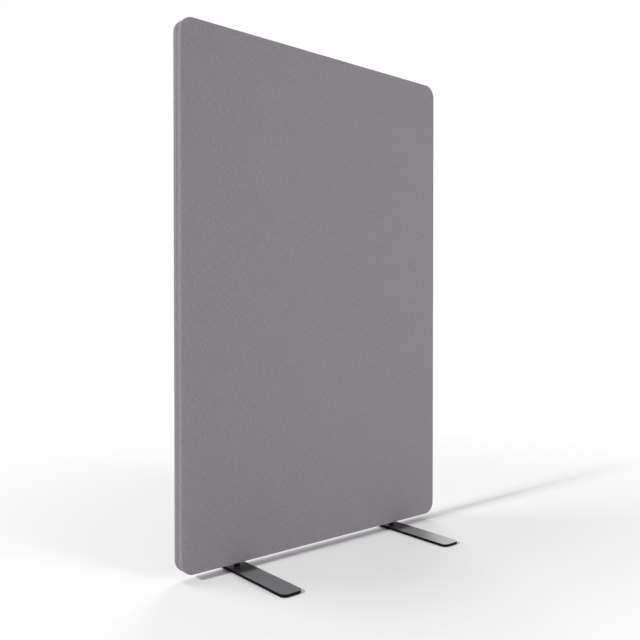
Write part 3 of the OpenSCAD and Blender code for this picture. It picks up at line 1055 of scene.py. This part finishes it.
def studio_floor(colour):
    """Pale floor that turns into the white background with distance."""
    shader = Shader("studio_floor")
    x, y, _ = shader.axes(shader.place())
    far_off = (x * x + y * y).root().ramp(0.7, 3.0)
    path = shader.node("ShaderNodeLightPath")
    outputs = path.socket.node.outputs
    seen = Value(shader, outputs["Is Camera Ray"])
    for name in ("Is Glossy Ray", "Is Transmission Ray"):
        seen = seen.larger(Value(shader, outputs[name]))
    matte = shader.principled(Base_Color=colour, Roughness=0.9, Specular_IOR_Level=0.1)
    white = shader.node(
        "ShaderNodeEmission", None, {"Color": (1, 1, 1, 1), "Strength": 1.0})
    return shader.blend(far_off * seen, matte, white)


class SCREEN_OT_studio(bpy.types.Operator):
    """Sets up the camera, the floor, the background and the lamps"""
    bl_idname = "screen.studio"
    bl_label = "Studio"

    def execute(self, context):
        studio = settings("studio")
        context.scene.view_settings.view_transform = "Standard"
        data = bpy.data.cameras.new("camera")
        data.lens = studio.lens
        data.sensor_width = 36
        camera = bpy.data.objects.new("camera", data)
        camera.location = studio.camera_place
        camera.rotation_euler = studio.camera_turn
        context.collection.objects.link(camera)
        context.scene.camera = camera
        self.floor(studio)
        self.world(context.scene, studio)
        for name, place, aim, size, level in LAMPS:
            lamp(name, place, aim, size, getattr(studio, level))
        return {"FINISHED"}

    def floor(self, studio):
        """A flat floor under the feet."""
        floor = start("floor", bpy.ops.mesh.primitive_plane_add, size=60, location=(0, 0, 0))
        floor.data.materials.append(studio_floor(studio.floor))

    def world(self, scene, studio):
        """White to the camera and in reflections, and a soft even light elsewhere."""
        world = bpy.data.worlds.new("studio")
        world.use_nodes = True
        scene.world = world
        tree = world.node_tree
        background = tree.nodes["Background"]
        path = tree.nodes.new("ShaderNodeLightPath")
        seen = path.outputs["Is Camera Ray"]
        for name in ("Is Glossy Ray", "Is Transmission Ray"):
            either = tree.nodes.new("ShaderNodeMath")
            either.operation = "MAXIMUM"
            tree.links.new(seen, either.inputs[0])
            tree.links.new(path.outputs[name], either.inputs[1])
            seen = either.outputs[0]
        level = tree.nodes.new("ShaderNodeMapRange")
        level.inputs["To Min"].default_value = studio.ambient
        tree.links.new(seen, level.inputs["Value"])
        tree.links.new(level.outputs[0], background.inputs["Strength"])
        background.inputs["Color"].default_value = (1, 1, 1, 1)


# Panel and registration

OPERATORS = (
    SCREEN_OT_studio, SCREEN_OT_cover, SCREEN_OT_base_strip, SCREEN_OT_zip,
    SCREEN_OT_wadding, SCREEN_OT_absorbers, SCREEN_OT_finishes,
)


class SCREEN_PT_build(bpy.types.Panel):
    """Lists the steps and the settings of the screen"""
    bl_label = "Acoustic Screen"
    bl_idname = "SCREEN_PT_build"
    bl_space_type = "VIEW_3D"
    bl_region_type = "UI"
    bl_category = "Screen"

    def draw(self, context):
        for step in OPERATORS:
            self.layout.operator(step.bl_idname)
        for name, group in SETTINGS.items():
            box = self.layout.box()
            for field in group.__annotations__:
                box.prop(settings(name), field)


CLASSES = (*SETTINGS.values(), *OPERATORS, SCREEN_PT_build)


def register():
    for made in CLASSES:
        bpy.utils.register_class(made)
    for name, group in SETTINGS.items():
        setattr(bpy.types.Scene, "screen_" + name, PointerProperty(type=group))


def unregister():
    for name in SETTINGS:
        delattr(bpy.types.Scene, "screen_" + name)
    for made in reversed(CLASSES):
        bpy.utils.unregister_class(made)


def main():
    register()
    for step in OPERATORS:
        getattr(bpy.ops.screen, step.bl_idname.split(".")[1])()


if __name__ == "__main__":
    main()
